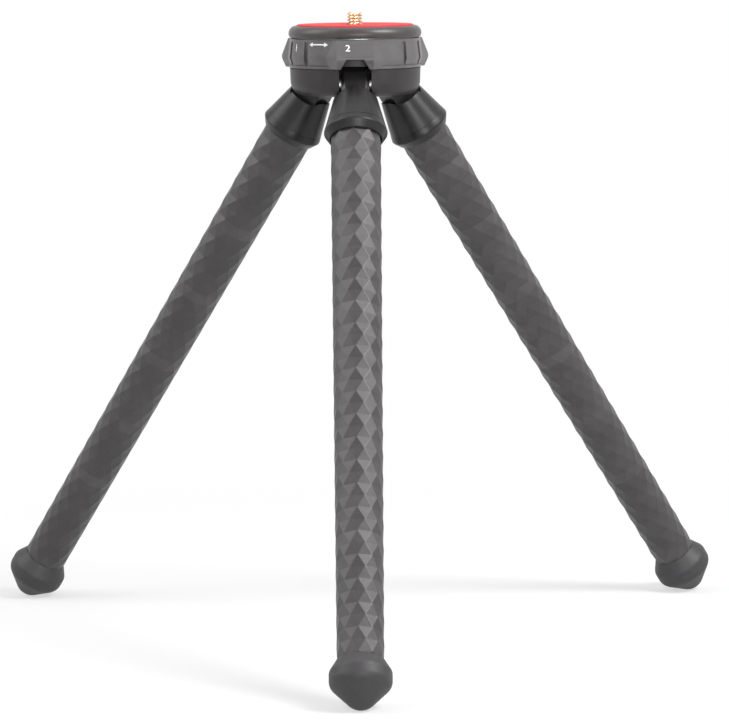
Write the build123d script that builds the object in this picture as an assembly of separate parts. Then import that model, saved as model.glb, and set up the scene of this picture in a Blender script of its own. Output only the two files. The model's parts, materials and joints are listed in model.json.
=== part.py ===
from build123d import *
from math import cos, pi, radians, sin
import os

# A tabletop tripod: a round hub with a camera screw and a turning selector ring, and three bendable legs.
# Units are millimetres, +Z is up and the floor is Z = 0, straight below the camera screw.
# The front leg points along -Y. The other two stand 120 degrees to each side of it.
#
# Heights inside the hub are measured from the level of the three hinge pins.
# Lengths along a leg are measured down its own axis from its hinge pin.

# How the legs stand at rest
LEGS = ("front", "right", "left")
SPREAD = 34.0               # angle of each leg axis from the vertical

# Hub, whose radii step out or in from the core's
CORE_R = 23.0
RING_WALL = 3.5             # ring's waist, outside the core
BOWL_OUT = 3.7              # bowl's rim, outside the core
PIVOT_IN = 9.2              # hinge pins, inside the bowl's rim
SCREW_IN = 7.5              # circle of the small screws, inside the core

# Hinges between the hub and the legs
PIN_R = 1.5
PIN_HOLD = 5.45             # length of pin held at each side of the slot
KNUCKLE_R = 7.5             # rounded front of the leg cap's neck, about its pin
KNUCKLE_BACK_R = 4.2        # rounded back of the neck, above the pin
KNUCKLE_W = 11.3
NECK_BACK = 6.2             # flat back of the neck, below the pin
NECK_FLARE = 4.0            # the front runs straight this far down the leg, then out to the cone
NECK_CORNER_R = 8.6         # the neck's corners are rounded about the leg's axis
SLOT_END_GAP = 0.6          # round the knuckle
WASHER_R = 3.9
WASHER_T = 0.8
WASHER_PLAY = 0.05          # each face of a friction washer

# Hub base, a shallow bowl
BOWL_TOP = 6.3
BOWL_BOTTOM = -4.9
BOWL_DRAFT = 0.4            # the wall leans in by this much towards the bottom
BOWL_CORNER_R = 6.0
BOWL_POCKET_R = 7.0
BOWL_FLOOR = 2.5

# Hub core, which holds the pins down and carries the ring
CORE_WALL = 3.5
CORE_ROOF = 1.9             # floor left above the swing of the knuckles
CORE_POST_R = 7.5
CORE_BOSS_R = 4.6
TAB_SIDE_GAP = 0.5          # pin tab to the side wall of the slot

# Selector ring. Radii step out from its waist, and heights count from its lower edge.
RING_H = 11.95
RING_TOP_OUT = 0.1
RING_RIDGE_OUT = 1.0
RING_RIDGE_H = 4.1
RING_LIP_OUT = 0.4
RING_LIP_H = 1.1
RING_EDGE = 0.3             # chamfer of the top edge
LUG_HALF_W = 7.4
LUG_OUT = 4.3               # ridge of a lug
LUG_LOW_OUT = 2.1
LUG_TOP_OUT = 0.9
LUG_DROP = 0.25             # top of a lug, below the ring's top
LUG_RIDGE_ROUND = 3.0
LUG_FLANK = 0.74            # how far a flank runs sideways for each millimetre of depth
NOTCH_LOW_HALF_W = 5.9
NOTCH_TOP_HALF_W = 3.5
GROOVE_ANGLES = (47.0, 73.0)
GROOVE_W = 2.3
GROOVE_IN = 0.3             # floor of a groove, inside the waist
GROOVE_DROP = 1.25          # top of a groove, below the ring's top
KEY_ANGLE = 180.0           # the stop key stands at the back
KEY_HALF_ANGLE = 4.0
KEY_H = 2.2
KEY_DEPTH = 1.0
RING_TURN = 60.0            # travel between the two marks

# Spring washer above the ring
SPRING_T = 0.6
SPRING_W = 1.6
SPRING_RECESS = 0.7

# Top plate and pad
PLATE_H = 4.6
PLATE_FOOT_OUT = 0.1        # foot of the plate, outside the ring's top
PLATE_BULGE = 0.45
PLATE_WIDEST_H = 1.5        # widest point above the plate's underside
PLATE_RIM = 2.15            # widest point to the flat of the top
PAD_IN = 1.1                # pad, inside the flat of the top
PAD_T = 1.5
PAD_SUNK = 0.9
PAD_EDGE = 0.35

# Camera screw, quarter inch
CAMERA_SCREW_R = 3.175
CAMERA_SCREW_OUT = 5.0      # above the pad
CAMERA_SCREW_TIP = 0.5
CAMERA_SCREW_NECK_R = 3.0
CAMERA_SCREW_HEAD_AF = 11.0
CAMERA_SCREW_HEAD_H = 2.4

# Small screws, size 3 with a cylindrical head
SCREW_R = 1.5
SCREW_HEAD_R = 2.75
SCREW_HEAD_H = 1.8
SCREW_SOCKET_R = 1.25       # corners of the hexagonal socket
SCREW_SUNK = 0.3            # head below the face around it
SCREW_EDGE = 0.3
PLATE_SCREW_GRIP = 7.0
SCREW_ENDS_GAP = 0.55       # plate screw's end to the base screw's end, in the same boss

# Leg cap, a cone with a hollow shoulder and a neck that runs up to the hinge
SHOULDER_GAP = 0.2          # hollow face of the cap to the bowl's wall beside the pin
SHOULDER_ROUND = 4.0        # the hollow's rounding towards the sides, where the bowl falls away
SHOULDER_RELIEF = 0.6       # deeper beside the neck, for the slot's edges when the leg is spread wide
SHOULDER_TOP = 5.4          # the shoulder's inner side clears the bowl when the leg is upright
CAP_TOP = 3.0
CAP_TOP_R = 7.8
CONE_LENGTH = 17.0
COLLAR_WALL = 1.85          # cone's end, outside the sleeve
COLLAR_OUT = 0.7            # widest band, outside the cone's end
COLLAR_FLARE = 2.5          # length from the cone's end to the widest band
COLLAR_LAND = 0.5
COLLAR_LENGTH = 6.0
COLLAR_LIP = 0.7            # end of the collar, outside the sleeve

# Faceted rubber sleeve
SLEEVE_RECESS = 0.4         # the sleeve starts this far inside the collar
SLEEVE_LENGTH = 231.0
SLEEVE_TOP_R = 10.25
SLEEVE_END_R = 9.05
SLEEVE_ROWS = 47
SLEEVE_FACETS = 10
SLEEVE_TURN = 13.0          # how far the first row's corners are turned from the front

# Ball links inside the sleeve
LINK_COUNT = 7
FIRST_BALL_IN = 3.9         # first ball, below the sleeve's top
BALL_R = 4.6
LINK_R = 6.6
LINK_NECK_R = 2.8
LINK_NECK_END = 4.2         # below the ball's centre
LINK_SHOULDER = 7.6         # below the ball's centre
SOCKET_LIP = 2.0            # the socket wraps this far past the ball's centre
SOCKET_MOUTH = 0.5          # chamfer at the socket's mouth
STUD_R = 3.0
STUD_LENGTH = 9.5

# Rubber foot
FOOT_STEP = 0.15            # top of the foot, inside the sleeve's end
FOOT_R = 12.0
FOOT_UPPER_SLOPE = 5.2      # length of the upper cone
FOOT_BAND = 5.2             # length of the widest band
FOOT_UPPER_ROUND = 3.0
FOOT_LOWER_ROUND = 4.5
FOOT_LOWER_ANGLE = 44.0     # half angle of the lower cone
FOOT_TIP_R = 7.0

# Clearances
RUNNING = 0.05              # a pin in its bore, a ball in its socket, on the radius
RING_RUNNING = 0.08         # the ring on the core, on the radius
RING_GAP = 0.25             # the ring to the parts above and below it
SEAT = 0.03                 # pieces of one body that fit into each other
SCREW_HOLE = 0.1            # a screw in a plain hole, on the radius
HEAD_GAP = 0.2              # round a screw head
KEY_GAP = 0.3
LINK_GAP = 0.3              # a link inside the sleeve's bore, on the radius
COLLAR_GAP = 0.15           # the sleeve inside the collar, on the radius
FOOT_GAP = 0.3              # the sleeve's end to the foot

# Radii that follow from the sizes above
BOWL_R = CORE_R + BOWL_OUT
PIVOT_R = BOWL_R - PIVOT_IN
SCREW_CIRCLE_R = CORE_R - SCREW_IN
RING_BORE_R = CORE_R + RING_RUNNING
RING_WAIST_R = CORE_R + RING_WALL
RING_TOP_R = RING_WAIST_R + RING_TOP_OUT
RING_RIDGE_R = RING_WAIST_R + RING_RIDGE_OUT
RING_LIP_R = RING_WAIST_R + RING_LIP_OUT
LUG_REACH = RING_WAIST_R + LUG_OUT
LUG_LOW_REACH = RING_WAIST_R + LUG_LOW_OUT
LUG_TOP_REACH = RING_WAIST_R + LUG_TOP_OUT
GROOVE_FLOOR_R = RING_WAIST_R - GROOVE_IN
PLATE_FOOT_R = RING_TOP_R + PLATE_FOOT_OUT
PLATE_R = PLATE_FOOT_R + PLATE_BULGE
PLATE_RIM_TOP_R = PLATE_R - PLATE_RIM
PAD_R = PLATE_RIM_TOP_R - PAD_IN
SHOULDER_R = PIVOT_IN + SHOULDER_GAP
COLLAR_TOP_R = SLEEVE_TOP_R + COLLAR_WALL
COLLAR_R = COLLAR_TOP_R + COLLAR_OUT
COLLAR_END_R = SLEEVE_TOP_R + COLLAR_LIP
SLEEVE_BORE_R = LINK_R + LINK_GAP
FOOT_TOP_R = SLEEVE_END_R - FOOT_STEP

# Heights in the hub, and widths across a hinge
RING_BOTTOM = BOWL_TOP + RING_GAP
RING_TOP = RING_BOTTOM + RING_H
PLATE_UNDER = RING_TOP + RING_GAP
PLATE_TOP = PLATE_UNDER + PLATE_H
PAD_SEAT = PLATE_TOP - PAD_SUNK
PAD_TOP = PAD_SEAT + PAD_T
SWING_R = KNUCKLE_R + SLOT_END_GAP
BASE_SCREW_GRIP = PLATE_UNDER - BOWL_TOP - PLATE_SCREW_GRIP - SCREW_ENDS_GAP
SLOT_HALF_W = KNUCKLE_W / 2 + WASHER_T + 2 * WASHER_PLAY
PIN_LENGTH = 2 * (SLOT_HALF_W + PIN_HOLD)

# Lengths down a leg
COLLAR_TOP = CAP_TOP + CONE_LENGTH
COLLAR_WIDEST = COLLAR_TOP + COLLAR_FLARE
COLLAR_END = COLLAR_TOP + COLLAR_LENGTH
SLEEVE_TOP = COLLAR_TOP + SLEEVE_RECESS
SLEEVE_END = SLEEVE_TOP + SLEEVE_LENGTH
FIRST_BALL = SLEEVE_TOP + FIRST_BALL_IN
LINK_PITCH = SLEEVE_LENGTH / LINK_COUNT
FOOT_TOP = SLEEVE_END + FOOT_GAP
FOOT_CONE_START = FOOT_TOP + FOOT_UPPER_SLOPE + FOOT_BAND
FOOT_APEX = FOOT_CONE_START + FOOT_R * cos(radians(FOOT_LOWER_ANGLE)) / sin(radians(FOOT_LOWER_ANGLE))
FOOT_TIP_CENTRE = FOOT_APEX - FOOT_TIP_R / sin(radians(FOOT_LOWER_ANGLE))
PIVOT_Z = FOOT_TIP_CENTRE * cos(radians(SPREAD)) + FOOT_TIP_R


def turned(edges):
    """A solid turned about the upright axis from a closed outline of radius and height."""
    return revolve(Plane.XZ * make_face(edges), Axis.Z)


def turned_corners(*corners):
    """The same from straight runs between (radius, height) corners."""
    return turned(Polyline(*corners, close=True))


def turned_leg(*corners):
    """The same from (radius, length down the leg) corners."""
    return turned_corners(*[(radius, -length) for radius, length in corners])


def disc(radius, low, high):
    """An upright round bar between two heights."""
    return Pos(0, 0, low) * Cylinder(radius, high - low, align=(Align.CENTER, Align.CENTER, Align.MIN))


def block(x, y, z):
    """A box between (low, high) pairs."""
    size = Box(x[1] - x[0], y[1] - y[0], z[1] - z[0], align=(Align.MIN, Align.MIN, Align.MIN))
    return Pos(x[0], y[0], z[0]) * size


def cross_bar(radius, half_length):
    """A round bar along X through the origin."""
    return Rot(0, 90, 0) * Cylinder(radius, 2 * half_length)


def at_pivot(shape):
    """Moves a shape from the origin to the front hinge pin, at pin height."""
    return Pos(0, -PIVOT_R, 0) * shape


def round_hub(shape, angles):
    """Copies of a shape about the hub's axis."""
    return [Rot(0, 0, angle) * shape for angle in angles]


os.makedirs("parts", exist_ok=True)

LEG_ANGLES = [index * 360.0 / len(LEGS) for index in range(len(LEGS))]
SCREW_ANGLES = [angle + 180.0 / len(LEGS) for angle in LEG_ANGLES]


def screw(low, grip, points_down):
    """A small screw whose head rests at one height and whose shank runs on from there."""
    head = disc(SCREW_HEAD_R, 0, SCREW_HEAD_H)
    head = chamfer(head.edges().group_by(Axis.Z)[-1], SCREW_EDGE)
    head -= Pos(0, 0, SCREW_HEAD_H / 2) * extrude(RegularPolygon(SCREW_SOCKET_R, 6), SCREW_HEAD_H / 2)
    body = head + disc(SCREW_R, -grip, 0)
    turn = Rot(0, 0, 0) if points_down else Rot(180, 0, 0)
    return Pos(0, -SCREW_CIRCLE_R, low) * turn * body


def make_hub_base():
    """The bowl, with a slot and two pin cradles for each leg."""
    wall = FilletPolyline(
        (0, BOWL_BOTTOM), (BOWL_R - BOWL_DRAFT, BOWL_BOTTOM), (BOWL_R, BOWL_TOP), radius=BOWL_CORNER_R
    )
    lid = Polyline((BOWL_R, BOWL_TOP), (0, BOWL_TOP), (0, BOWL_BOTTOM))
    bowl = turned(wall.edges() + lid.edges())
    bowl -= disc(BOWL_POCKET_R, BOWL_BOTTOM + BOWL_FLOOR, BOWL_TOP)

    outside = -2 * BOWL_R
    back = NECK_BACK + SLOT_END_GAP
    slot = block((-SLOT_HALF_W, SLOT_HALF_W), (outside, back - PIVOT_R), (2 * BOWL_BOTTOM, 0))
    slot += block((-SLOT_HALF_W, SLOT_HALF_W), (outside, -PIVOT_R), (0, 2 * BOWL_TOP))
    slot += at_pivot(cross_bar(SWING_R, SLOT_HALF_W)) & block(
        (-SLOT_HALF_W, SLOT_HALF_W), (outside, 0), (0, 2 * BOWL_TOP)
    )

    seat_r = PIN_R + SEAT
    seat_half = PIN_LENGTH / 2 + SEAT
    cradle = at_pivot(cross_bar(seat_r, seat_half))
    cradle += block((-seat_half, seat_half), (-PIVOT_R - seat_r, -PIVOT_R + seat_r), (0, 2 * BOWL_TOP))

    screw_hole = Pos(0, -SCREW_CIRCLE_R, 0) * disc(SCREW_R + SCREW_HOLE, 2 * BOWL_BOTTOM, 2 * BOWL_TOP)
    head_seat = BOWL_BOTTOM + SCREW_SUNK + SCREW_HEAD_H
    screw_hole += Pos(0, -SCREW_CIRCLE_R, 0) * disc(SCREW_HEAD_R + HEAD_GAP, 2 * BOWL_BOTTOM, head_seat)

    bowl -= round_hub(slot, LEG_ANGLES)
    bowl -= round_hub(cradle, LEG_ANGLES)
    bowl -= round_hub(screw_hole, SCREW_ANGLES)
    return bowl


def make_hub_core():
    """The cup above the bowl: pin tabs below, screw bosses inside, and a stop key for the ring."""
    core = disc(CORE_R, BOWL_TOP, PLATE_UNDER)
    core -= disc(CORE_R - CORE_WALL, SWING_R + CORE_ROOF, PLATE_UNDER)
    core += disc(CORE_POST_R, BOWL_TOP, PLATE_UNDER)
    boss = Pos(0, -SCREW_CIRCLE_R, 0) * disc(CORE_BOSS_R, BOWL_TOP, PLATE_UNDER)
    core += round_hub(boss, SCREW_ANGLES)

    tab_half = PIN_R - SEAT
    tab_in = SLOT_HALF_W + TAB_SIDE_GAP
    tab_out = PIN_LENGTH / 2 - SEAT
    tab = block((tab_in, tab_out), (-PIVOT_R - tab_half, -PIVOT_R + tab_half), (PIN_R + SEAT, BOWL_TOP))
    core += round_hub(tab, LEG_ANGLES)
    core += round_hub(mirror(tab, Plane.YZ), LEG_ANGLES)

    key_low = RING_BOTTOM + RING_GAP
    key = sector(CORE_R - 1, CORE_R + KEY_DEPTH, -KEY_HALF_ANGLE, KEY_HALF_ANGLE, key_low, key_low + KEY_H)
    core += Rot(0, 0, KEY_ANGLE) * key

    pilot = Pos(0, -SCREW_CIRCLE_R, 0) * disc(SCREW_R + SEAT, BOWL_TOP, PLATE_UNDER)
    core -= round_hub(pilot, SCREW_ANGLES)

    swing = at_pivot(cross_bar(SWING_R, SLOT_HALF_W))
    swing += block((-SLOT_HALF_W, SLOT_HALF_W), (-2 * CORE_R, -PIVOT_R), (BOWL_TOP, KNUCKLE_R))
    core -= round_hub(swing, LEG_ANGLES)
    return core


def sector(inner, outer, start, end, low, high):
    """A piece of a ring between two angles, counted from the front towards the right."""
    outline = Plane.XZ * make_face(Polyline((inner, low), (outer, low), (outer, high), (inner, high), close=True))
    return Rot(0, 0, start - 90) * revolve(outline, Axis.Z, revolution_arc=end - start)


def make_lug():
    """The front finger lug: a bowed face with two flanks that widen downwards."""
    inner = CORE_R - 1
    low = RING_BOTTOM
    ridge = RING_BOTTOM + RING_RIDGE_H
    top = RING_TOP - LUG_DROP
    face = FilletPolyline(
        (-LUG_LOW_REACH, low), (-LUG_REACH, ridge), (-LUG_TOP_REACH, top), radius=LUG_RIDGE_ROUND
    )
    back = Polyline((-LUG_TOP_REACH, top), (-inner, top), (-inner, low), (-LUG_LOW_REACH, low))
    profile = Plane.YZ * make_face(face.edges() + back.edges())
    depth = LUG_REACH - inner
    middle = extrude(Pos(-LUG_HALF_W, 0, 0) * profile, 2 * LUG_HALF_W)
    flank_start = (Pos(LUG_HALF_W, 0, 0) * profile).face()
    flank = Solid.extrude(flank_start, Vector(LUG_FLANK * depth, depth, 0))
    return middle + flank + mirror(flank, Plane.YZ)


def make_selector_ring():
    """The turning ring: three lugs, each notched below, with grooves between them."""
    ridge = RING_BOTTOM + RING_RIDGE_H
    lip = RING_BOTTOM + RING_LIP_H
    ring = turned_corners(
        (CORE_R - 1, RING_BOTTOM),
        (RING_LIP_R, RING_BOTTOM),
        (RING_LIP_R, lip),
        (RING_WAIST_R, lip),
        (RING_RIDGE_R, ridge),
        (RING_TOP_R, RING_TOP - RING_EDGE),
        (RING_TOP_R - RING_EDGE, RING_TOP),
        (CORE_R - 1, RING_TOP),
    )
    ring += round_hub(make_lug(), LEG_ANGLES)

    groove = block(
        (-GROOVE_W / 2, GROOVE_W / 2), (-2 * RING_RIDGE_R, -GROOVE_FLOOR_R), (lip, RING_TOP - GROOVE_DROP)
    )
    for groove_angle in GROOVE_ANGLES:
        ring -= round_hub(groove, [groove_angle + angle for angle in LEG_ANGLES])

    notch = extrude(
        Plane.XZ * make_face(Polyline(
            (-NOTCH_LOW_HALF_W, RING_BOTTOM),
            (NOTCH_LOW_HALF_W, RING_BOTTOM),
            (NOTCH_TOP_HALF_W, ridge),
            (-NOTCH_TOP_HALF_W, ridge),
            close=True,
        )),
        2 * LUG_REACH,
    )
    ring -= round_hub(notch, LEG_ANGLES)

    key_top = RING_BOTTOM + RING_GAP + KEY_H + KEY_GAP
    track_start = KEY_ANGLE - RING_TURN - KEY_HALF_ANGLE - 1
    track_end = KEY_ANGLE + KEY_HALF_ANGLE + 1
    track_r = CORE_R + KEY_DEPTH + KEY_GAP
    ring -= sector(CORE_R - 1, track_r, track_start, track_end, RING_BOTTOM, key_top)
    ring -= disc(CORE_R + RING_RUNNING + SPRING_W + SPRING_RECESS, RING_TOP - SPRING_RECESS, RING_TOP)
    ring -= disc(RING_BORE_R, RING_BOTTOM, RING_TOP)
    return ring


def make_ring_spring():
    """The flat spring washer that keeps the ring from rattling."""
    low = PLATE_UNDER - SEAT - SPRING_T
    inner = CORE_R + RING_RUNNING
    return disc(inner + SPRING_W, low, low + SPRING_T) - disc(inner, low, low + SPRING_T)


def make_top_plate():
    """The black top with its rounded rim, a seat for the pad and a pocket for the screw head."""
    rim = ThreePointArc(
        (PLATE_FOOT_R, PLATE_UNDER), (PLATE_R, PLATE_UNDER + PLATE_WIDEST_H), (PLATE_RIM_TOP_R, PLATE_TOP)
    )
    rest = Polyline((PLATE_RIM_TOP_R, PLATE_TOP), (0, PLATE_TOP), (0, PLATE_UNDER), (PLATE_FOOT_R, PLATE_UNDER))
    plate = turned(rim.edges() + rest.edges())
    plate -= disc(PAD_R + SEAT, PAD_SEAT, PLATE_TOP)
    plate -= disc(CAMERA_SCREW_NECK_R + SCREW_HOLE, PLATE_UNDER, PLATE_TOP)
    pocket_top = PLATE_UNDER + SEAT + CAMERA_SCREW_HEAD_H
    plate -= hexagon(CAMERA_SCREW_HEAD_AF + 2 * SEAT, PLATE_UNDER, pocket_top)

    hole = Pos(0, -SCREW_CIRCLE_R, 0) * disc(SCREW_R + SCREW_HOLE, PLATE_UNDER, PLATE_TOP)
    head_seat = PAD_SEAT - SCREW_SUNK - SCREW_HEAD_H
    hole += Pos(0, -SCREW_CIRCLE_R, 0) * disc(SCREW_HEAD_R + HEAD_GAP, head_seat, PLATE_TOP)
    plate -= round_hub(hole, SCREW_ANGLES)
    return plate


def hexagon(across_flats, low, high):
    """An upright hexagonal bar."""
    outline = RegularPolygon(across_flats / 2, 6, major_radius=False)
    return Pos(0, 0, low) * extrude(outline, high - low)


def make_top_pad():
    """The red pad that the camera stands on."""
    pad = disc(PAD_R, PAD_SEAT, PAD_TOP)
    pad = chamfer(pad.edges().group_by(Axis.Z)[-1], PAD_EDGE)
    return pad - disc(CAMERA_SCREW_R + 2 * SCREW_HOLE, PAD_SEAT, PAD_TOP)


def make_camera_screw():
    """The camera screw: hexagonal head in the plate, plain neck, then the threaded end above the pad."""
    head_low = PLATE_UNDER + SEAT
    head_top = head_low + CAMERA_SCREW_HEAD_H
    tip = PAD_TOP + CAMERA_SCREW_OUT
    stem = turned_corners(
        (0, head_low),
        (CAMERA_SCREW_NECK_R, head_low),
        (CAMERA_SCREW_NECK_R, PAD_TOP),
        (CAMERA_SCREW_R, PAD_TOP),
        (CAMERA_SCREW_R, tip - CAMERA_SCREW_TIP),
        (CAMERA_SCREW_R - CAMERA_SCREW_TIP, tip),
        (0, tip),
    )
    return stem + hexagon(CAMERA_SCREW_HEAD_AF, head_low, head_top)


def make_hinge_washers():
    """A friction washer on each side of each knuckle."""
    inside = KNUCKLE_W / 2 + WASHER_PLAY
    washer = Cylinder(WASHER_R, WASHER_T) - Cylinder(PIN_R + RUNNING, WASHER_T)
    washer = at_pivot(Pos(inside + WASHER_T / 2, 0, 0) * Rot(0, 90, 0) * washer)
    return round_hub(washer, LEG_ANGLES) + round_hub(mirror(washer, Plane.YZ), LEG_ANGLES)


def make_hinge_pin():
    """One steel pin with broken edges."""
    pin = cross_bar(PIN_R, PIN_LENGTH / 2)
    return at_pivot(chamfer(pin.edges().filter_by(GeomType.CIRCLE), SCREW_EDGE))


def socket(centre):
    """The hollow that takes a ball, with its chamfered mouth, at a length down the leg."""
    mouth = centre + SOCKET_LIP
    ball_r = BALL_R + RUNNING
    mouth_r = (ball_r**2 - SOCKET_LIP**2) ** 0.5
    opening = turned_leg(
        (0, mouth - SOCKET_MOUTH),
        (mouth_r, mouth - SOCKET_MOUTH),
        (mouth_r + SOCKET_MOUTH, mouth),
        (mouth_r + SOCKET_MOUTH, mouth + 1),
        (0, mouth + 1),
    )
    return Pos(0, 0, -centre) * Sphere(ball_r) + opening


def make_neck():
    """The neck from the cone up to the pin: a round head, a straight front that flares, and a flat back."""
    end = SHOULDER_R + 4
    round_head = ThreePointArc(
        (0, KNUCKLE_R), (-KNUCKLE_R * cos(pi / 4), KNUCKLE_R * sin(pi / 4)), (-KNUCKLE_R, 0)
    )
    front = Polyline((-KNUCKLE_R, 0), (-KNUCKLE_R, -NECK_FLARE))
    flare = TangentArc((-KNUCKLE_R, -NECK_FLARE), (-COLLAR_TOP_R, -end), tangent=(0, -1))
    back = Polyline((-COLLAR_TOP_R, -end), (NECK_BACK, -end), (NECK_BACK, 0), (0, 0), (0, KNUCKLE_R))
    outline = make_face(round_head.edges() + front.edges() + flare.edges() + back.edges())
    prism = extrude(Pos(-KNUCKLE_W / 2, 0, 0) * (Plane.YZ * outline), KNUCKLE_W)
    cone_slope = (COLLAR_TOP_R - CAP_TOP_R) / (COLLAR_TOP - CAP_TOP)
    meets = CAP_TOP + (NECK_CORNER_R - CAP_TOP_R) / cone_slope
    return prism & turned_leg(
        (0, -2 * KNUCKLE_R),
        (NECK_CORNER_R, -2 * KNUCKLE_R),
        (NECK_CORNER_R, meets),
        (COLLAR_TOP_R, COLLAR_TOP),
        (0, COLLAR_TOP),
    )


def make_shoulder_hollow():
    """What the shoulder is hollowed by: a bar about the pin whose ends are rounded as the bowl falls away."""
    half_w = COLLAR_R
    flat = KNUCKLE_W / 2
    drop = SHOULDER_R - SHOULDER_ROUND
    round_x = flat + SHOULDER_ROUND
    middle = Polyline((-flat, SHOULDER_R), (flat, SHOULDER_R))
    corner = SHOULDER_ROUND * cos(pi / 4)
    right = ThreePointArc((flat, SHOULDER_R), (flat + corner, drop + corner), (round_x, drop))
    left = ThreePointArc((-round_x, drop), (-flat - corner, drop + corner), (-flat, SHOULDER_R))
    rest = Polyline((round_x, drop), (half_w, drop), (half_w, 0), (-half_w, 0), (-half_w, drop), (-round_x, drop))
    return revolve(make_face(middle.edges() + right.edges() + left.edges() + rest.edges()), Axis.X)


def make_leg_cap():
    """The cone with its hollow shoulder, its hinge neck, and the spigot that holds the first ball."""
    spigot_r = SLEEVE_BORE_R - SEAT
    spigot_end = FIRST_BALL + SOCKET_LIP
    cone = turned_leg(
        (0, CAP_TOP),
        (CAP_TOP_R, CAP_TOP),
        (COLLAR_TOP_R, COLLAR_TOP),
        (spigot_r, COLLAR_TOP),
        (spigot_r, spigot_end),
        (0, spigot_end),
    )
    cone -= block((-COLLAR_R, COLLAR_R), (0, COLLAR_R), (-SHOULDER_TOP, 0))
    cone -= make_shoulder_hollow()
    beside = SLOT_HALF_W + 2 * SHOULDER_RELIEF
    relief = cross_bar(SHOULDER_R + SHOULDER_RELIEF, beside)
    cone -= relief & block((-beside, beside), (-2 * SHOULDER_R, 0), (-2 * SHOULDER_R, 0))
    cap = cone + make_neck() + cross_bar(KNUCKLE_BACK_R, KNUCKLE_W / 2)
    cap -= cross_bar(PIN_R + RUNNING, KNUCKLE_W)
    return cap - socket(FIRST_BALL)


def make_leg_collar():
    """The band round the top of the sleeve, chamfered in to the rubber."""
    bore = SLEEVE_TOP_R + COLLAR_GAP
    return turned_leg(
        (bore, COLLAR_TOP),
        (COLLAR_TOP_R, COLLAR_TOP),
        (COLLAR_R, COLLAR_WIDEST),
        (COLLAR_R, COLLAR_WIDEST + COLLAR_LAND),
        (COLLAR_END_R, COLLAR_END),
        (bore, COLLAR_END),
    )


def sleeve_point(row, number):
    """A corner of the sleeve's net. Every second row is turned by half a facet."""
    share = row / SLEEVE_ROWS
    radius = SLEEVE_TOP_R + (SLEEVE_END_R - SLEEVE_TOP_R) * share
    angle = radians(SLEEVE_TURN) + 2 * pi * (number + 0.5 * (row % 2)) / SLEEVE_FACETS
    length = SLEEVE_TOP + (SLEEVE_END - SLEEVE_TOP) * share
    return Vector(radius * sin(angle), -radius * cos(angle), -length)


def make_leg_sleeve():
    """The faceted rubber sleeve: rows of flat triangles, bored through for the links."""
    faces = []
    for row in range(SLEEVE_ROWS):
        for number in range(SLEEVE_FACETS):
            apex = number + row % 2
            left = sleeve_point(row, number)
            right = sleeve_point(row, number + 1)
            low_left = sleeve_point(row + 1, apex)
            low_right = sleeve_point(row + 1, apex + 1)
            faces.append(Face(Wire.make_polygon([left, low_left, right])))
            faces.append(Face(Wire.make_polygon([right, low_left, low_right])))
    for row in (0, SLEEVE_ROWS):
        faces.append(Face(Wire.make_polygon([sleeve_point(row, number) for number in range(SLEEVE_FACETS)])))
    skin = Solid(Shell(faces))
    return skin - disc(SLEEVE_BORE_R, -SLEEVE_END, -SLEEVE_TOP)


def ball_place(number):
    """How far down the leg a link's ball sits. Links count from 1."""
    return FIRST_BALL + (number - 1) * LINK_PITCH


def make_link(number):
    """A ball, its neck, and below it the socket for the next ball or the stud for the foot."""
    ball = ball_place(number)
    last = number == LINK_COUNT
    end = FOOT_TOP if last else ball + LINK_PITCH + SOCKET_LIP
    body = turned_leg(
        (0, ball),
        (LINK_NECK_R, ball),
        (LINK_NECK_R, ball + LINK_NECK_END),
        (LINK_R, ball + LINK_SHOULDER),
        (LINK_R, end),
        (0, end),
    )
    link = body + Pos(0, 0, -ball) * Sphere(BALL_R)
    if last:
        return link + disc(STUD_R, -end - STUD_LENGTH, -end)
    return link - socket(ball + LINK_PITCH)


def make_foot():
    """The rubber foot: a cone out to a round band, a lower cone and a round tip."""
    angle = radians(FOOT_LOWER_ANGLE)
    band_top = FOOT_TOP + FOOT_UPPER_SLOPE
    tip_end = FOOT_TIP_CENTRE + FOOT_TIP_R
    touch = (FOOT_TIP_R * cos(angle), -FOOT_TIP_CENTRE - FOOT_TIP_R * sin(angle))
    half = (pi / 2 - angle) / 2
    middle = (FOOT_TIP_R * sin(half), -FOOT_TIP_CENTRE - FOOT_TIP_R * cos(half))
    side = FilletPolyline(
        (FOOT_TOP_R, -FOOT_TOP),
        (FOOT_R, -band_top),
        (FOOT_R, -FOOT_CONE_START),
        touch,
        radius=(FOOT_UPPER_ROUND, FOOT_LOWER_ROUND),
    )
    tip = ThreePointArc(touch, middle, (0, -tip_end))
    rest = Polyline((0, -tip_end), (0, -FOOT_TOP), (FOOT_TOP_R, -FOOT_TOP))
    foot = turned(side.edges() + tip.edges() + rest.edges())
    return foot - disc(STUD_R + SEAT, -FOOT_TOP - STUD_LENGTH - HEAD_GAP, -FOOT_TOP)


def write(name, shape):
    """Writes one named piece, or a group of like pieces, to its own file."""
    if isinstance(shape, list):
        shape = Compound(children=[piece.solid() for piece in shape])
    export_step(shape, f"parts/{name}.step")


def raised(shape):
    """Moves a hub piece, or a group of them, from pin level to its height above the floor."""
    if isinstance(shape, list):
        return [Pos(0, 0, PIVOT_Z) * piece for piece in shape]
    return Pos(0, 0, PIVOT_Z) * shape


def on_leg(shape, angle):
    """Tilts a leg piece outwards and carries it to its hinge."""
    return Rot(0, 0, angle) * Pos(0, -PIVOT_R, PIVOT_Z) * Rot(-SPREAD, 0, 0) * shape


base_head = BOWL_BOTTOM + SCREW_SUNK + SCREW_HEAD_H
base_screw = screw(base_head, BOWL_TOP - base_head + BASE_SCREW_GRIP, points_down=False)
plate_head = PAD_SEAT - SCREW_SUNK - SCREW_HEAD_H
plate_screw = screw(plate_head, plate_head - PLATE_UNDER + PLATE_SCREW_GRIP, points_down=True)

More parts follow.
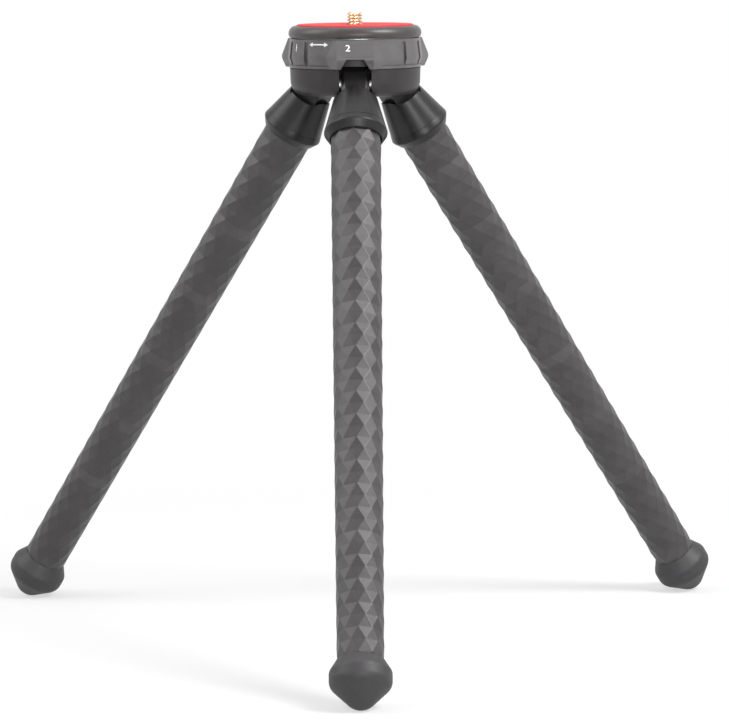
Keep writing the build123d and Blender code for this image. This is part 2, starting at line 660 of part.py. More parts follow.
write("hub_base", raised(make_hub_base()))
write("hub_core", raised(make_hub_core()))
write("selector_ring", raised(make_selector_ring()))
write("ring_spring_washer", raised(make_ring_spring()))
write("top_plate", raised(make_top_plate()))
write("top_pad", raised(make_top_pad()))
write("camera_screw", raised(make_camera_screw()))
write("base_screws", raised(round_hub(base_screw, SCREW_ANGLES)))
write("plate_screws", raised(round_hub(plate_screw, SCREW_ANGLES)))
write("hinge_washers", raised(make_hinge_washers()))

pin = make_hinge_pin()
cap = make_leg_cap()
collar = make_leg_collar()
sleeve = make_leg_sleeve()
links = [make_link(number) for number in range(1, LINK_COUNT + 1)]
foot = make_foot()

for leg, leg_angle in zip(LEGS, LEG_ANGLES):
    write(f"{leg}_hinge_pin", raised(Rot(0, 0, leg_angle) * pin))
    write(f"{leg}_cap", on_leg(cap, leg_angle))
    write(f"{leg}_collar", on_leg(collar, leg_angle))
    write(f"{leg}_sleeve", on_leg(sleeve, leg_angle))
    for link_number, link in enumerate(links, start=1):
        write(f"{leg}_link_{link_number}", on_leg(link, leg_angle))
    write(f"{leg}_foot", on_leg(foot, leg_angle))

print(f"hinge pins at radius {PIVOT_R:.4f} and height {PIVOT_Z:.4f}")
print(f"camera face at height {PIVOT_Z + PAD_TOP:.4f}")
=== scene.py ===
import json
from math import pi, radians

import bpy
from mathutils import Matrix, Vector


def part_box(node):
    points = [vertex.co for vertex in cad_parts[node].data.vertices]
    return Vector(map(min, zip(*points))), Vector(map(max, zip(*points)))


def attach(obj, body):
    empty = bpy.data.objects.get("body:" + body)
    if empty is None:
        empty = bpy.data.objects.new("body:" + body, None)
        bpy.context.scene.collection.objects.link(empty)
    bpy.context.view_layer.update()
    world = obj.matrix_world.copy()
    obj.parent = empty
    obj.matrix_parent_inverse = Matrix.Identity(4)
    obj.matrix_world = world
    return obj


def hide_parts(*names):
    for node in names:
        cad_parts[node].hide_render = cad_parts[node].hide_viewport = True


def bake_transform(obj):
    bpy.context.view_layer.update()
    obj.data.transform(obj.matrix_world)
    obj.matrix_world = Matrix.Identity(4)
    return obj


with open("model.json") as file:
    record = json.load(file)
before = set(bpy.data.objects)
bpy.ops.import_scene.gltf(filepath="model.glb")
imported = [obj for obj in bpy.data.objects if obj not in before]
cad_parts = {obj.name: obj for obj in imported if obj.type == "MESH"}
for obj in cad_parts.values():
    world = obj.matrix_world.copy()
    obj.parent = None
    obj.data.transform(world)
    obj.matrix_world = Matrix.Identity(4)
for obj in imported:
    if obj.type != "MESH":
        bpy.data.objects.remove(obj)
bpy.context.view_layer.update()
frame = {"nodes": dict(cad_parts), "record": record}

# The tripod's lengths are written in millimetres times MM, because the scene is in metres.
# Angles are in degrees.
MM = 0.001
WELD = 0.002 * MM            # corners nearer than this become one

# How the legs stand and hinge. Lengths along a leg run down from its hinge pin.
LEGS = {"front": 0.0, "right": 120.0, "left": 240.0}
SPREAD = 34.0
PIVOT_R = 17.5 * MM
PIVOT_Z = 226.2385 * MM

# Links inside each leg
LINKS = 7
FIRST_BALL = 24.3 * MM
LINK_PITCH = 33.0 * MM
BEND_REACH = 13.0 * MM       # how far to each side of a ball the rubber's bend would reach; no bend is set up here
COLLAR_END = 26.0 * MM

# Moulded edges of the solids
FLAT_ANGLE = 0.3             # faces that differ by less than this become one
MOULDED_ANGLE = 28.0         # edges that turn by more than this are rounded

# Faceted sleeve
SLEEVE_TOP = 20.4 * MM
SLEEVE_END = 251.4 * MM
SLEEVE_TOP_R = 10.25 * MM
SLEEVE_END_R = 9.05 * MM
SLEEVE_WALL = 2.0 * MM
SLEEVE_ROWS = 47
SLEEVE_FACETS = 10
SLEEVE_TURN = 13.0           # of the top row, about the leg
SLEEVE_EDGE = 0.14 * MM
SLEEVE_EDGE_ANGLE = 3.0
SLEEVE_SPARE = 1.0 * MM      # the first and last cuts fall this far outside the sleeve

# Camera screw, quarter inch with 20 threads to the inch
PAD_TOP = 250.1885 * MM
THREAD_R = 3.175 * MM
THREAD_ROOT_R = 2.42 * MM
THREAD_PITCH = 1.27 * MM
THREAD_CREST = 0.16 * MM
THREAD_OUT = 5.0 * MM        # above the pad
THREAD_DOWN = 0.9 * MM       # below the pad's top, into the plate
THREAD_TIP = 0.5 * MM
THREAD_TIP_ANGLE = 60.0
THREAD_STEPS = 48
THREAD_WELD = 0.001 * MM
THREAD_SPARE = 0.1 * MM      # the wound thread is first cut off this far past each end
THREAD_SPARE_TURNS = 3
THREAD_FLAT = 0.01 * MM      # taken off the crests
THREAD_EDGE = 0.04 * MM
NECK_R = 3.0 * MM
NECK_EDGE = 0.1 * MM
SCREW_HEAD_R = 6.35 * MM     # corners of the hexagon
SCREW_HEAD_H = 2.4 * MM
SCREW_HEAD_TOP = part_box("camera_screw")[0][2] + SCREW_HEAD_H
SCREW_HEAD_SIDES = 6
SCREW_HEAD_TURN = 30.0
SCREW_HEAD_EDGE = 0.2 * MM
SCREW_EDGE_ANGLE = 25.0
SCREW_SMOOTH_ANGLE = 30.0

# Marks on the selector ring, as angles to the left of the front
RING_TOP = 244.7385 * MM
RING_OUTSIDE = 29.0 * MM     # a mark starts this far from the axis, and is then laid on the ring
MARK_GAP = 0.02 * MM
MARK_INK = 0.05 * MM         # thickness of the paint
FIRST_MARK = 61.5
SECOND_MARK = 5.8
NUMBER_HEIGHT = 3.0 * MM
NUMBER_DROP = 3.5 * MM       # middle of a number, below the ring's top
NUMBER_SHARE = 0.7           # height of a number as a share of its type size
NUMBER_WEIGHT = 0.05 * MM    # added all round a number's outline
NUMBER_CURVE_STEPS = 6
NUMBER_CUTS = 2              # cuts give a mark the faces that it needs to follow the ring
ARROW_MIDDLE = 33.6
ARROW_DROP = 1.8 * MM
ARROW_LENGTH = 9.8 * MM
ARROW_SHAFT = 0.55 * MM
ARROW_SHAFT_CUTS = 14
ARROW_HEAD = 1.9 * MM        # width of a head
ARROW_HEAD_STRETCH = 1.15    # length of a head against a triangle with three equal sides
ARROW_HEAD_TIP = 0.66        # from a head's middle to its tip, as a share of its width
ARROW_HEAD_CUTS = 4

# Floor and light, in metres
WHITE = (1.0, 1.0, 1.0, 1.0)
FLOOR_HALF = 16.0
NEAR_FLOOR = 0.16            # up to this far from the middle, the floor shows its shadows best
FAR_FLOOR = 0.50             # beyond this, it shows plain white
NEAR_WHITE = 0.6             # share of plain white in the near floor
AMBIENT = 0.15               # strength of the world's light on the tripod
LAMPS_AIM = (0, 0, 0.15)

# The photograph's camera, found from the feet, the hub and the screw
CAMERA_AWAY = 1566.0 * MM
CAMERA_HEIGHT = 297.5 * MM
CAMERA_DOWN = 6.785
CAMERA_YAW = -0.10
CAMERA_ROLL = -0.50
CAMERA_FAR = 40.0            # metres, beyond the floor's far edge
FOCAL_PIXELS = 3822.0
PHOTO_WIDTH = 729.0
SENSOR = 36.0


# Working with meshes


def clear_selection():
    """Leaves nothing selected, because an operator acts on everything that is."""
    if bpy.context.mode != "OBJECT":
        bpy.ops.object.mode_set(mode="OBJECT")
    bpy.ops.object.select_all(action="DESELECT")


def take(piece):
    """Makes one piece the only selected and active one."""
    clear_selection()
    piece.select_set(True)
    bpy.context.view_layer.objects.active = piece


def new_piece(name):
    """Names the primitive that was just added and returns it."""
    piece = bpy.context.active_object
    piece.name = name
    piece.data.name = name
    return piece


def edit(piece):
    """Opens a piece in edit mode with all of it selected."""
    take(piece)
    bpy.ops.object.mode_set(mode="EDIT")
    bpy.ops.mesh.select_all(action="SELECT")


def done():
    """Closes edit mode."""
    bpy.ops.object.mode_set(mode="OBJECT")


def copy_of(piece, name):
    """A copy with its own mesh, riding on nothing yet."""
    other = piece.copy()
    other.data = piece.data.copy()
    other.name = name
    other.data.name = name
    other.parent = None
    other.matrix_world = Matrix.Identity(4)
    bpy.context.scene.collection.objects.link(other)
    return other


def join_into(piece, others):
    """Joins other pieces into one."""
    take(piece)
    for other in others:
        other.select_set(True)
    bpy.ops.object.join()
    return piece


def discard(*pieces):
    """Removes pieces that only helped to make others."""
    for piece in pieces:
        bpy.data.objects.remove(piece, do_unlink=True)


def modify(piece, kind, **settings):
    """Adds one modifier with its settings and applies it."""
    modifier = piece.modifiers.new(kind, kind)
    for name, value in settings.items():
        setattr(modifier, name, value)
    take(piece)
    bpy.ops.object.modifier_apply(modifier=modifier.name)


def round_edges(piece, width, sharp, segments=2, miter="MITER_SHARP"):
    """Rounds the edges that turn by more than an angle."""
    modify(
        piece, "BEVEL", width=width, segments=segments, limit_method="ANGLE",
        angle_limit=radians(sharp), miter_outer=miter,
    )


def smooth(piece, sharp):
    """Shades a piece smooth, apart from the edges that turn by more than an angle."""
    take(piece)
    bpy.ops.object.shade_smooth_by_angle(angle=radians(sharp))


def cut_away(piece, side, level, fill=False):
    """Cuts away what is above or below a level."""
    edit(piece)
    bpy.ops.mesh.bisect(
        plane_co=(0, 0, level), plane_no=(0, 0, 1), use_fill=fill,
        clear_inner=side == "below", clear_outer=side == "above",
    )
    done()


def place(piece, matrix):
    """Moves the mesh itself, so that the piece's origin stays at the frame's origin."""
    piece.data.transform(piece.matrix_world)
    piece.matrix_world = Matrix.Identity(4)
    piece.data.transform(matrix)
    piece.data.update()


def leg_place(angle):
    """From a leg's own frame, where it hangs straight down from its pin, to where it stands."""
    turn = Matrix.Rotation(radians(angle), 4, "Z")
    out = Matrix.Translation((0, -PIVOT_R, PIVOT_Z))
    return turn @ out @ Matrix.Rotation(radians(-SPREAD), 4, "X")


def paint(piece, material):
    """Gives a piece one material."""
    piece.data.materials.clear()
    piece.data.materials.append(material)


# Materials


class Socket:
    """An output of a node, so that shader maths reads as plain sums."""

    def __init__(self, finish, output):
        self.finish = finish
        self.output = output

    def __add__(self, other):
        return self.finish.maths("ADD", self, other)

    def __radd__(self, other):
        return self.finish.maths("ADD", other, self)

    def __sub__(self, other):
        return self.finish.maths("SUBTRACT", self, other)

    def __rsub__(self, other):
        return self.finish.maths("SUBTRACT", other, self)

    def __mul__(self, other):
        return self.finish.maths("MULTIPLY", self, other)

    def __rmul__(self, other):
        return self.finish.maths("MULTIPLY", other, self)


class Finish:
    """The look of one material, or of the world, built node by node."""

    def __init__(self, owner, shader):
        owner.use_nodes = True
        self.owner = owner
        self.tree = owner.node_tree
        self.shader = self.tree.nodes[shader]

    def node(self, kind, output=0, settings=None, **inputs):
        """Adds a node: its settings first, then the values or links of its sockets.

        A socket is given by its name with _ for each space, or by its number after one _.
        """
        made = self.tree.nodes.new(kind)
        for name, value in (settings or {}).items():
            setattr(made, name, value)
        for name, value in inputs.items():
            key = int(name[1:]) if name[0] == "_" else name.replace("_", " ")
            self.join(value, made.inputs[key])
        return Socket(self, made.outputs[output])

    def join(self, value, target):
        """Links a socket, or sets a plain value."""
        if isinstance(value, Socket):
            self.tree.links.new(value.output, target)
        else:
            target.default_value = value

    def set(self, **inputs):
        """Sets the shader's sockets and returns the finished material or world."""
        for name, value in inputs.items():
            self.join(value, self.shader.inputs[name.replace("_", " ")])
        return self.owner

    def maths(self, operation, first, second):
        """One step of a sum."""
        return self.node("ShaderNodeMath", settings={"operation": operation}, _0=first, _1=second)

    def place(self):
        """Object coordinates, in metres."""
        return self.node("ShaderNodeTexCoord", "Object")

    def noise(self, size, detail=3.0, roughness=0.6):
        """Noise from 0 to 1 whose grains are about this many millimetres across."""
        return self.node(
            "ShaderNodeTexNoise", "Fac", Vector=self.place(), Scale=1.0 / (size * MM), Detail=detail,
            Roughness=roughness,
        )

    def between(self, amount, low, high):
        """A smooth step from 0 to 1 while an amount goes from low to high."""
        return self.node(
            "ShaderNodeMapRange", settings={"interpolation_type": "SMOOTHSTEP"}, Value=amount,
            From_Min=low, From_Max=high,
        )

    def patches(self, size, low, high, detail=3.0, roughness=0.6):
        """Soft patches: 0 where the noise is under low and 1 where it is over high."""
        return self.between(self.noise(size, detail, roughness), low, high)

    def blend(self, amount, first, second):
        """Two colours, each as its red, green and blue, mixed by an amount."""
        settings = {"data_type": "RGBA"}
        return self.node("ShaderNodeMix", 2, settings, _0=amount, _6=(*first, 1.0), _7=(*second, 1.0))

    def bump(self, height, depth):
        """A bump of this depth in millimetres."""
        return self.node("ShaderNodeBump", Strength=1.0, Distance=depth * MM, Height=height)

    def worn_and_highlit_edges(self, start):
        """1 along sharp edges and 0 on flat faces, where the pointiness is 0.5: edge wear on the
        plastics, and a painted highlight on the sleeve's ridges.
        """
        pointiness = self.node("ShaderNodeNewGeometry", "Pointiness")
        return self.between(pointiness, 0.5 + start, 0.5 + 3 * start)

    def looked_at(self):
        """1 for what the camera sees straight, mirrored or through glass, and 0 for its light alone."""
        seen = self.node("ShaderNodeLightPath", "Is Camera Ray")
        mirrored = self.node("ShaderNodeLightPath", "Is Glossy Ray")
        through = self.node("ShaderNodeLightPath", "Is Transmission Ray")
        return 1 - (1 - seen) * (1 - mirrored) * (1 - through)


def new_finish(name):
    """The look of a new material."""
    return Finish(bpy.data.materials.new(name), "Principled BSDF")


def moulded_plastic(name, dark, pale, roughness, shine):
    """Satin plastic from a spark-eroded mould, a little paler where it is handled."""
    finish = new_finish(name)
    handled = finish.patches(9.0, low=0.42, high=0.68)
    specks = finish.patches(0.9, low=0.60, high=0.74, detail=4.0, roughness=0.7)
    grain = finish.noise(0.16, detail=2.0)
    edges = finish.worn_and_highlit_edges(0.02)
    return finish.set(
        Base_Color=finish.blend(handled * 0.5 + specks * 0.2 + edges * 0.4, dark, pale),
        Roughness=roughness + handled * 0.05 + grain * 0.06 - 0.04,
        Specular_IOR_Level=shine,
        Normal=finish.bump(grain, depth=0.010),
    )


def sleeve_rubber():
    """Matte grey rubber with a fine tooth, a faint bloom, and a painted highlight: paler ridges on the
    facets.
    """
    finish = new_finish("sleeve rubber")
    bloom = finish.patches(14.0, low=0.38, high=0.70)
    flecks = finish.patches(1.1, low=0.55, high=0.75, detail=4.0, roughness=0.7)
    tooth = finish.noise(0.22, roughness=0.65)
    # Painted highlight: the facets' ridges are made paler, as if they caught the light.
    edges = finish.worn_and_highlit_edges(0.012)
    dark = (0.036, 0.033, 0.034)
    pale = (0.068, 0.063, 0.065)
    return finish.set(
        Base_Color=finish.blend(bloom * 0.35 + flecks * 0.30 + edges * 0.35, dark, pale),
        Roughness=0.34 + tooth * 0.10 + bloom * 0.05,
        Specular_IOR_Level=0.5,
        Normal=finish.bump(tooth, depth=0.02),
    )


def foot_rubber():
    """Darker, denser rubber, scuffed in places."""
    finish = new_finish("foot rubber")
    scuffs = finish.patches(3.5, low=0.52, high=0.72, detail=5.0, roughness=0.7)
    tooth = finish.noise(0.3)
    dark = (0.030, 0.028, 0.030)
    pale = (0.055, 0.051, 0.054)
    return finish.set(
        Base_Color=finish.blend(scuffs * 0.6, dark, pale),
        Roughness=0.48 + tooth * 0.12 + scuffs * 0.08,
        Normal=finish.bump(tooth, depth=0.02),
    )


def red_rubber():
    """The red pad: soft rubber with a fine tooth."""
    finish = new_finish("red rubber")
    dust = finish.patches(2.5, low=0.50, high=0.75, detail=5.0, roughness=0.7)
    tooth = finish.noise(0.25)
    deep = (0.60, 0.020, 0.026)
    bright = (0.74, 0.040, 0.045)
    return finish.set(
        Base_Color=finish.blend(dust, deep, bright),
        Roughness=0.55 + tooth * 0.15,
        Normal=finish.bump(tooth, depth=0.03),
    )


def metal(name, dark, pale, roughness):
    """Plated or bare metal with fine marks and a faint haze."""
    finish = new_finish(name)
    haze = finish.patches(1.8, low=0.40, high=0.70)
    marks = finish.noise(0.35, detail=4.0, roughness=0.7)
    return finish.set(
        Base_Color=finish.blend(haze * 0.5 + marks * 0.3, dark, pale),
        Metallic=1.0,
        Roughness=roughness + marks * 0.14,
        Normal=finish.bump(marks, depth=0.004),
    )


def white_paint():
    """The printed marks, slightly uneven at this scale."""
    finish = new_finish("white paint")
    thin = finish.patches(0.5, low=0.50, high=0.75)
    full = (0.86, 0.86, 0.86)
    worn = (0.68, 0.68, 0.68)
    return finish.set(Base_Color=finish.blend(thin * 0.6, full, worn), Roughness=0.55 + thin * 0.1)


HUB_PLASTIC = moulded_plastic(
    "hub plastic", dark=(0.030, 0.027, 0.028), pale=(0.045, 0.041, 0.043), roughness=0.42, shine=0.27
)
# Painted light: a paler, slightly reddish copy of the hub plastic, so that the top plate looks lit from
# above.
HUB_PLASTIC_PAINTED_LIT = moulded_plastic(
    "hub plastic painted lit", dark=(0.044, 0.037, 0.037), pale=(0.066, 0.057, 0.057), roughness=0.36, shine=0.45
)
RING_PLASTIC = moulded_plastic(
    "ring plastic", dark=(0.096, 0.090, 0.093), pale=(0.130, 0.123, 0.126), roughness=0.34, shine=0.35
)
LEG_PLASTIC = moulded_plastic(
    "leg plastic", dark=(0.012, 0.011, 0.012), pale=(0.022, 0.020, 0.021), roughness=0.33, shine=0.3
)
LINK_PLASTIC = moulded_plastic(
    "link plastic", dark=(0.10, 0.10, 0.11), pale=(0.14, 0.14, 0.15), roughness=0.5, shine=0.5
)
SLEEVE_RUBBER = sleeve_rubber()
FOOT_RUBBER = foot_rubber()
RED_RUBBER = red_rubber()
GOLD_METAL = metal("gold plating", dark=(0.80, 0.70, 0.52), pale=(0.92, 0.85, 0.70), roughness=0.12)
STEEL = metal("bare steel", dark=(0.50, 0.50, 0.52), pale=(0.64, 0.64, 0.66), roughness=0.28)
WHITE_PAINT = white_paint()

SLOT_FINISH = {
    "hub_plastic": HUB_PLASTIC,
    "ring_plastic": RING_PLASTIC,
    "leg_plastic": LEG_PLASTIC,
    "link_plastic": LINK_PLASTIC,
    "sleeve_rubber": SLEEVE_RUBBER,
    "foot_rubber": FOOT_RUBBER,
    "red_pad": RED_RUBBER,
    "gold_metal": GOLD_METAL,
    "steel": STEEL,
}

for part in frame["record"]["subparts"]:
    paint(frame["nodes"][part["node"]], SLOT_FINISH[part["material_slot"]])


# Pieces that keep the solid's shape and get its moulded edges


def soften(node, body, material_slot, edge, material=None):
    """A copy of a solid in the solid's place, with rounded edges and smooth curved faces."""
    piece = copy_of(frame["nodes"][node], f"{node}_moulded")
    edit(piece)
    bpy.ops.mesh.remove_doubles(threshold=WELD)
    bpy.ops.mesh.dissolve_limited(angle_limit=radians(FLAT_ANGLE))
    bpy.ops.mesh.normals_make_consistent(inside=False)
    done()
    round_edges(piece, edge, MOULDED_ANGLE, segments=3, miter="MITER_ARC")
    smooth(piece, MOULDED_ANGLE)
    modify(piece, "WEIGHTED_NORMAL", keep_sharp=True)
    paint(piece, material or SLOT_FINISH[material_slot])
    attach(piece, body)
    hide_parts(node)
    return piece


soften("hub_base", "hub", "hub_plastic", edge=0.30 * MM)
moulded_ring = soften("selector_ring", "selector_ring", "ring_plastic", edge=0.30 * MM)
# The top plate is hub plastic, painted paler as if lit from above.
soften("top_plate", "hub", "hub_plastic", edge=0.25 * MM, material=HUB_PLASTIC_PAINTED_LIT)
soften("top_pad", "hub", "red_pad", edge=0.15 * MM)
for leg in LEGS:
    soften(f"{leg}_cap", f"{leg}_leg", "leg_plastic", edge=0.30 * MM)
    soften(f"{leg}_collar", f"{leg}_leg", "leg_plastic", edge=0.20 * MM)
    soften(f"{leg}_foot", f"{leg}_link_{LINKS}", "foot_rubber", edge=0.20 * MM)


# Camera screw


def draw_line(name, points):
    """A line of joined points, drawn by pulling one corner from each to the next."""
    clear_selection()
    bpy.ops.mesh.primitive_plane_add(size=MM)
    line = new_piece(name)
    edit(line)
    bpy.ops.mesh.merge(type="CENTER")
    bpy.ops.transform.translate(value=points[0])
    for start, end in zip(points, points[1:]):
        step = tuple(b - a for a, b in zip(start, end))
        bpy.ops.mesh.extrude_region_move(TRANSFORM_OT_translate={"value": step})
    done()
    return line


def round_bar(name, radius, low, high, corners=64):
    """An upright bar between two heights."""
    clear_selection()
    bpy.ops.mesh.primitive_cylinder_add(
        vertices=corners, radius=radius, depth=high - low, location=(0, 0, (low + high) / 2)
    )
    bar = new_piece(name)
    place(bar, Matrix.Identity(4))
    return bar


def wind_thread(low, high):
    """One turn's outline, wound up in a helix and cut off a little past both heights."""
    start = low - THREAD_PITCH
    flank = (THREAD_PITCH - 2 * THREAD_CREST) / 2
    outline = [
        (THREAD_ROOT_R, 0, start),
        (THREAD_ROOT_R, 0, start + THREAD_CREST),
        (THREAD_R, 0, start + THREAD_CREST + flank),
        (THREAD_R, 0, start + 2 * THREAD_CREST + flank),
        (THREAD_ROOT_R, 0, start + THREAD_PITCH),
    ]
    thread = draw_line("camera_screw_thread", outline)
    modify(
        thread, "SCREW", screw_offset=THREAD_PITCH,
        iterations=int((high - low) / THREAD_PITCH) + THREAD_SPARE_TURNS,
        steps=THREAD_STEPS, render_steps=THREAD_STEPS,
        use_merge_vertices=True, merge_threshold=THREAD_WELD,
    )
    cut_away(thread, "below", low - THREAD_SPARE, fill=True)
    cut_away(thread, "above", high + THREAD_SPARE, fill=True)
    edit(thread)
    bpy.ops.mesh.remove_doubles(threshold=WELD)
    bpy.ops.mesh.normals_make_consistent(inside=False)
    done()
    return thread


def make_thread():
    """The threaded end, cut to its length by a bar with a chamfered tip."""
    low = PAD_TOP - THREAD_DOWN
    high = PAD_TOP + THREAD_OUT
    thread = wind_thread(low, high)
    bar = round_bar("screw_bar", THREAD_R - THREAD_FLAT, low, high, corners=96)
    round_edges(bar, THREAD_TIP, THREAD_TIP_ANGLE, segments=1)
    modify(thread, "BOOLEAN", operation="INTERSECT", solver="EXACT", object=bar)
    discard(bar)
    return thread


def make_camera_screw():
    """The thread above the pad, a plain neck in the plate, and the hexagonal head in its pocket."""
    thread = make_thread()
    neck = round_bar("camera_screw_neck", NECK_R, SCREW_HEAD_TOP, PAD_TOP - THREAD_DOWN)
    head_low = SCREW_HEAD_TOP - SCREW_HEAD_H
    head = round_bar("camera_screw_head", SCREW_HEAD_R, head_low, SCREW_HEAD_TOP, SCREW_HEAD_SIDES)
    place(head, Matrix.Rotation(radians(SCREW_HEAD_TURN), 4, "Z"))
    for piece, edge in ((thread, THREAD_EDGE), (neck, NECK_EDGE), (head, SCREW_HEAD_EDGE)):
        round_edges(piece, edge, SCREW_EDGE_ANGLE)
        smooth(piece, SCREW_SMOOTH_ANGLE)
        paint(piece, GOLD_METAL)
        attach(piece, "hub")
        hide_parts("camera_screw")


make_camera_screw()


# Marks on the selector ring


def print_on_ring(piece, angle, height):
    """Stands a flat mark outside the ring, lays it on the ring and gives it the thickness of paint."""
    outside = Matrix.Translation((0, -RING_OUTSIDE, height)) @ Matrix.Rotation(radians(90), 4, "X")
    place(piece, Matrix.Rotation(radians(-angle), 4, "Z") @ outside)
    modify(
        piece, "SHRINKWRAP", target=moulded_ring, wrap_method="NEAREST_SURFACEPOINT",
        wrap_mode="ABOVE_SURFACE", offset=MARK_GAP,
    )
    modify(piece, "SOLIDIFY", thickness=MARK_INK, offset=0.0)
    edit(piece)
    bpy.ops.mesh.normals_make_consistent(inside=False)
    done()
    paint(piece, WHITE_PAINT)
    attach(piece, "selector_ring")


def make_number(text, angle):
    """A printed number."""
    clear_selection()
    bpy.ops.object.text_add()
    number = bpy.context.active_object
    number.data.body = text
    number.data.align_x = "CENTER"
    number.data.align_y = "CENTER"
    number.data.size = NUMBER_HEIGHT / NUMBER_SHARE
    number.data.resolution_u = NUMBER_CURVE_STEPS
    number.data.offset = NUMBER_WEIGHT
    bpy.ops.object.convert(target="MESH")
    mark = new_piece(f"ring_mark_{text}")
    edit(mark)
    bpy.ops.mesh.remove_doubles(threshold=WELD)
    bpy.ops.mesh.quads_convert_to_tris()
    bpy.ops.mesh.subdivide(number_cuts=NUMBER_CUTS)
    done()
    print_on_ring(mark, angle, RING_TOP - NUMBER_DROP)


def model_arrow_head(side):
    """A triangle that points to one side, with its tip at that end of the arrow."""
    clear_selection()
    bpy.ops.mesh.primitive_circle_add(vertices=3, radius=ARROW_HEAD / 3**0.5, fill_type="NGON")
    head = new_piece("arrow_head")
    turn = Matrix.Rotation(radians(-90 * side), 4, "Z")
    stretch = Matrix.Diagonal((ARROW_HEAD_STRETCH, 1, 1, 1))
    out = Matrix.Translation((side * (ARROW_LENGTH / 2 - ARROW_HEAD * ARROW_HEAD_TIP), 0, 0))
    place(head, out @ stretch @ turn)
    edit(head)
    bpy.ops.mesh.subdivide(number_cuts=ARROW_HEAD_CUTS)
    done()
    return head


def make_arrow():
    """The double arrow between the two numbers."""
    heads = [model_arrow_head(side) for side in (-1, 1)]
    clear_selection()
    bpy.ops.mesh.primitive_plane_add(size=1.0)
    shaft = new_piece("ring_mark_arrow")
    place(shaft, Matrix.Diagonal((ARROW_LENGTH - 2 * ARROW_HEAD, ARROW_SHAFT, 1, 1)))
    edit(shaft)
    bpy.ops.mesh.subdivide(number_cuts=ARROW_SHAFT_CUTS)
    done()
    print_on_ring(join_into(shaft, heads), ARROW_MIDDLE, RING_TOP - ARROW_DROP)


make_number("1", FIRST_MARK)
make_number("2", SECOND_MARK)
make_arrow()


# Faceted sleeves


def sleeve_radius(row):
    """The radius of a sleeve's corners at the end of a row."""
    return SLEEVE_TOP_R + (SLEEVE_END_R - SLEEVE_TOP_R) * row / SLEEVE_ROWS


def model_sleeve_skin():
    """The outside of one sleeve, hanging straight down, with each row of triangles half a facet round."""
    row_length = (SLEEVE_END - SLEEVE_TOP) / SLEEVE_ROWS
    half_facet = pi / SLEEVE_FACETS
    clear_selection()
    bpy.ops.mesh.primitive_circle_add(
        vertices=SLEEVE_FACETS, radius=SLEEVE_TOP_R, location=(0, 0, -SLEEVE_TOP)
    )
    skin = new_piece("sleeve_skin")
    place(skin, Matrix.Rotation(radians(SLEEVE_TURN), 4, "Z"))
    edit(skin)
    for row in range(1, SLEEVE_ROWS + 1):
        narrower = sleeve_radius(row) / sleeve_radius(row - 1)
        level = (0, 0, -SLEEVE_TOP - row_length * row)
        bpy.ops.mesh.extrude_region_move(TRANSFORM_OT_translate={"value": (0, 0, -row_length)})
        bpy.ops.transform.rotate(value=half_facet, orient_axis="Z", center_override=level)
        bpy.ops.transform.resize(value=(narrower, narrower, 1), center_override=level)
    bpy.ops.mesh.select_all(action="SELECT")
    bpy.ops.mesh.quads_convert_to_tris(quad_method="SHORTEST_DIAGONAL")
    bpy.ops.mesh.normals_make_consistent(inside=False)
    done()
    round_edges(skin, SLEEVE_EDGE, SLEEVE_EDGE_ANGLE)
    return skin


def cut_section(skin, name, top, end):
    """The part of the skin between two lengths down the leg, given its wall."""
    section = copy_of(skin, name)
    cut_away(section, "above", -top)
    cut_away(section, "below", -end)
    modify(section, "SOLIDIFY", thickness=SLEEVE_WALL, offset=-1.0)
    return section


def make_sleeves():
    """The real sleeve bends at every ball, so it is made in sections that meet halfway between the balls;
    here they stay straight, where the leg stands.
    """
    skin = model_sleeve_skin()
    balls = [FIRST_BALL + LINK_PITCH * number for number in range(LINKS)]
    halfway = [ball + LINK_PITCH / 2 for ball in balls[:-1]]
    cuts = [SLEEVE_TOP - SLEEVE_SPARE] + halfway + [SLEEVE_END + SLEEVE_SPARE]
    sections = [
        cut_section(skin, f"sleeve_section_{number + 1}", cuts[number], cuts[number + 1])
        for number in range(LINKS)
    ]
    for leg, angle in LEGS.items():
        stand = leg_place(angle)
        for number, section in enumerate(sections):
            piece = copy_of(section, f"{leg}_sleeve_{number + 1}")
            place(piece, stand)
            paint(piece, SLEEVE_RUBBER)
            below = f"{leg}_link_{number + 1}"
            start = max(balls[number] - BEND_REACH, COLLAR_END)
            end = max(balls[number] + BEND_REACH, start + BEND_REACH)
            stand @ Vector((0, 0, -start))
            stand @ Vector((0, 0, -end))
            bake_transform(piece)
            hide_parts(f"{leg}_sleeve")
    discard(skin, *sections)


make_sleeves()


# Floor, light and camera


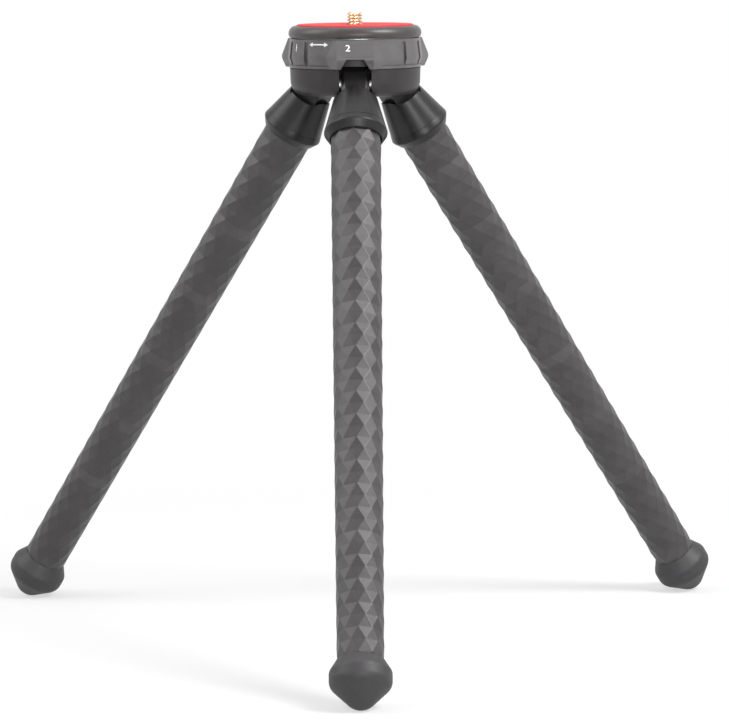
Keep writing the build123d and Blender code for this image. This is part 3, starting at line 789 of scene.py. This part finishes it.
def lay_floor():
    """A plain pale floor that fades to white with distance, and keeps the shadows under the feet."""
    clear_selection()
    bpy.ops.mesh.primitive_plane_add(size=2 * FLOOR_HALF, location=(0, 0, 0))
    floor = new_piece("floor")
    finish = new_finish("pale floor")
    specks = finish.noise(40.0, roughness=0.5)
    finish.set(
        Base_Color=finish.blend(specks, (0.90, 0.90, 0.90), (0.93, 0.93, 0.93)),
        Roughness=0.9,
        Specular_IOR_Level=0.0,
    )
    away = finish.node("ShaderNodeVectorMath", "Value", {"operation": "LENGTH"}, Vector=finish.place())
    fade = NEAR_WHITE + finish.between(away, NEAR_FLOOR, FAR_FLOOR) * (1 - NEAR_WHITE)
    lit = Socket(finish, finish.shader.outputs["BSDF"])
    plain = finish.node("ShaderNodeEmission", Color=WHITE, Strength=1.0)
    mixed = finish.node("ShaderNodeMixShader", _0=fade * finish.looked_at(), _1=lit, _2=plain)
    finish.join(mixed, finish.tree.nodes["Material Output"].inputs["Surface"])
    paint(floor, finish.owner)


def set_world():
    """Soft light from all round, which looks plain white to the camera and in mirrored surfaces."""
    sky = Finish(bpy.data.worlds.new("studio"), "Background")
    strength = AMBIENT + (1 - AMBIENT) * sky.looked_at()
    bpy.context.scene.world = sky.set(Color=WHITE, Strength=strength)


def add_lamp(name, spot, width, height, power):
    """A soft box at a spot, turned to the middle of the tripod."""
    lamp = bpy.data.lights.new(name, "AREA")
    lamp.shape = "RECTANGLE"
    lamp.size = width
    lamp.size_y = height
    lamp.energy = power
    stand = bpy.data.objects.new(name, lamp)
    stand.location = spot
    stand.rotation_euler = (Vector(LAMPS_AIM) - Vector(spot)).to_track_quat("-Z", "Y").to_euler()
    bpy.context.scene.collection.objects.link(stand)


def set_camera():
    """A camera where the photograph's stood, with its lens."""
    camera = bpy.data.cameras.new("camera")
    camera.sensor_width = SENSOR
    camera.sensor_fit = "HORIZONTAL"
    camera.lens = FOCAL_PIXELS / PHOTO_WIDTH * SENSOR
    camera.clip_end = CAMERA_FAR
    stand = bpy.data.objects.new("camera", camera)
    yaw = Matrix.Rotation(radians(CAMERA_YAW), 4, "Z")
    down = Matrix.Rotation(radians(90 - CAMERA_DOWN), 4, "X")
    roll = Matrix.Rotation(radians(CAMERA_ROLL), 4, "Z")
    stand.matrix_world = Matrix.Translation((0, -CAMERA_AWAY, CAMERA_HEIGHT)) @ (yaw @ down @ roll)
    bpy.context.scene.collection.objects.link(stand)
    bpy.context.scene.camera = stand


lay_floor()
set_world()
add_lamp("top box", spot=(0.0, 0.3, 1.5), width=1.0, height=1.0, power=4.0)
add_lamp("right box", spot=(0.80, -0.46, 1.07), width=0.50, height=0.65, power=18.0)
add_lamp("left box", spot=(-1.00, -0.10, 0.95), width=0.8, height=1.1, power=9.0)
add_lamp("front box", spot=(0.30, -1.72, 0.33), width=0.7, height=0.30, power=9.0)
set_camera()
bpy.context.scene.view_settings.view_transform = "Standard"
